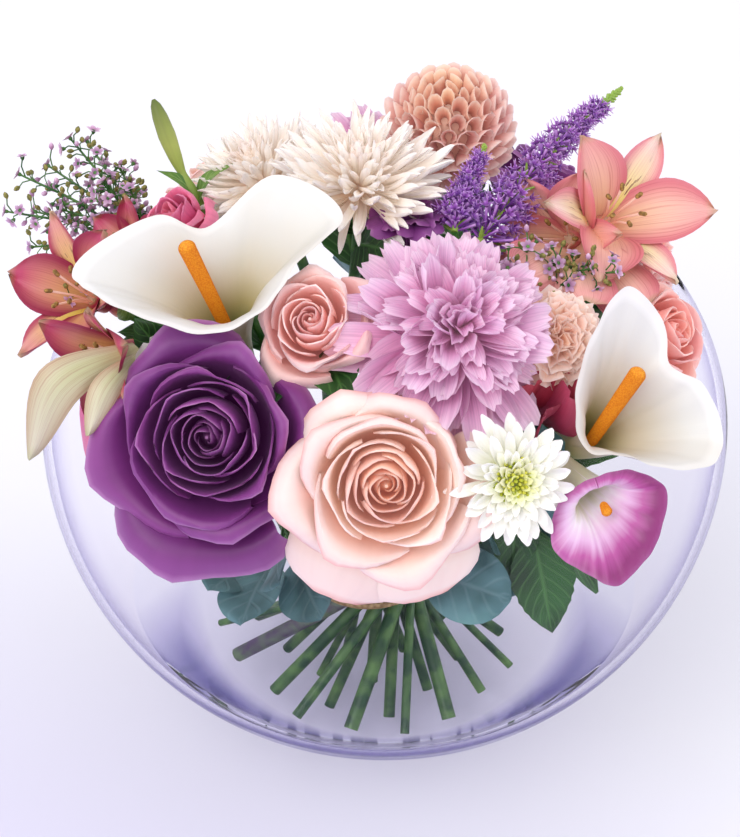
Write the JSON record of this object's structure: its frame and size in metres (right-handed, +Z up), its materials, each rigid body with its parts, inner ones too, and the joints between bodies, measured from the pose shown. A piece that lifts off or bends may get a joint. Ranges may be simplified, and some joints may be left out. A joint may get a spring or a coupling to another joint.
{
  "type": "floral table centerpiece",
  "caption": "Hand-tied bouquet of roses, callas, chrysanthemums and lilies standing in a round clear glass bowl with a little water.",
  "frame": {"origin": "middle of the bowl's flat foot, on the table", "axes": "+Z up out of the bowl's mouth; -Y is the front of the bouquet, the side with the two large roses; +X is its right"},
  "size_m": [0.254, 0.273, 0.2555],
  "materials": {
    "stem": "waxy green stem",
    "eucalyptus": "matt blue-green leaf",
    "waxflower": "small lilac buds",
    "petal_violet": "small matt florets",
    "bud": "smooth green bud",
    "petal_purple": "velvety petal",
    "petal_blush": "velvety petal",
    "petal_peach": "velvety petal",
    "petal_coral": "velvety petal",
    "petal_lilac": "satin petal",
    "petal_white": "waxy petal",
    "petal_cream": "satin petal",
    "petal_salmon": "satin petal",
    "petal_pink": "satin petal",
    "spadix": "grainy yellow",
    "petal_magenta": "waxy petal",
    "twine": "natural twine",
    "glass": "clear blown glass, gloss",
    "water": "clear water"
  },
  "bodies": {
    "root": {"rose_purple_stem": "stem", "rose_blush_stem": "stem", "rose_peach_stem": "stem", "rose_coral_stem": "stem", "rose_purple_back_stem": "stem", "rose_blush_back_stem": "stem", "mum_lilac_stem": "stem", "mum_lilac_back_stem": "stem", "mum_white_stem": "stem", "spider_white_right_stem": "stem", "spider_white_left_stem": "stem", "ball_peach_stem": "stem", "alstroemeria_right_stem": "stem", "alstroemeria_left_stem": "stem", "alstroemeria_low_stem": "stem", "carnation_peach_stem": "stem", "carnation_coral_stem": "stem", "tulip_pink_stem": "stem", "calla_left_stem": "stem", "calla_right_stem": "stem", "calla_magenta_stem": "stem", "eucalyptus_right": "eucalyptus", "eucalyptus_left": "eucalyptus", "eucalyptus_back": "eucalyptus", "waxflower_left": "waxflower", "waxflower_right": "waxflower", "veronica_spike_1": "petal_violet", "veronica_spike_2": "petal_violet", "veronica": "stem", "lily_bud": "bud", "rose_purple_petals": "petal_purple", "rose_blush_petals": "petal_blush", "rose_peach_petals": "petal_peach", "rose_coral_petals": "petal_coral", "rose_purple_back_petals": "petal_purple", "rose_blush_back_petals": "petal_blush", "mum_lilac_petals": "petal_lilac", "mum_lilac_back_petals": "petal_lilac", "mum_white_petals": "petal_white", "spider_white_right_petals": "petal_cream", "spider_white_left_petals": "petal_cream", "ball_peach_petals": "petal_peach", "alstroemeria_right_petals": "petal_salmon", "alstroemeria_left_petals": "petal_pink", "alstroemeria_low_petals": "petal_pink", "carnation_peach_petals": "petal_peach", "carnation_coral_petals": "petal_coral", "tulip_pink_petals": "petal_pink", "calla_left_spathe": "petal_white", "calla_left_spadix": "spadix", "calla_right_spathe": "petal_white", "calla_right_spadix": "spadix", "calla_magenta_spathe": "petal_magenta", "calla_magenta_spadix": "spadix", "tie": "twine", "bowl": "glass", "water": "water"}
  },
  "joints": []
}
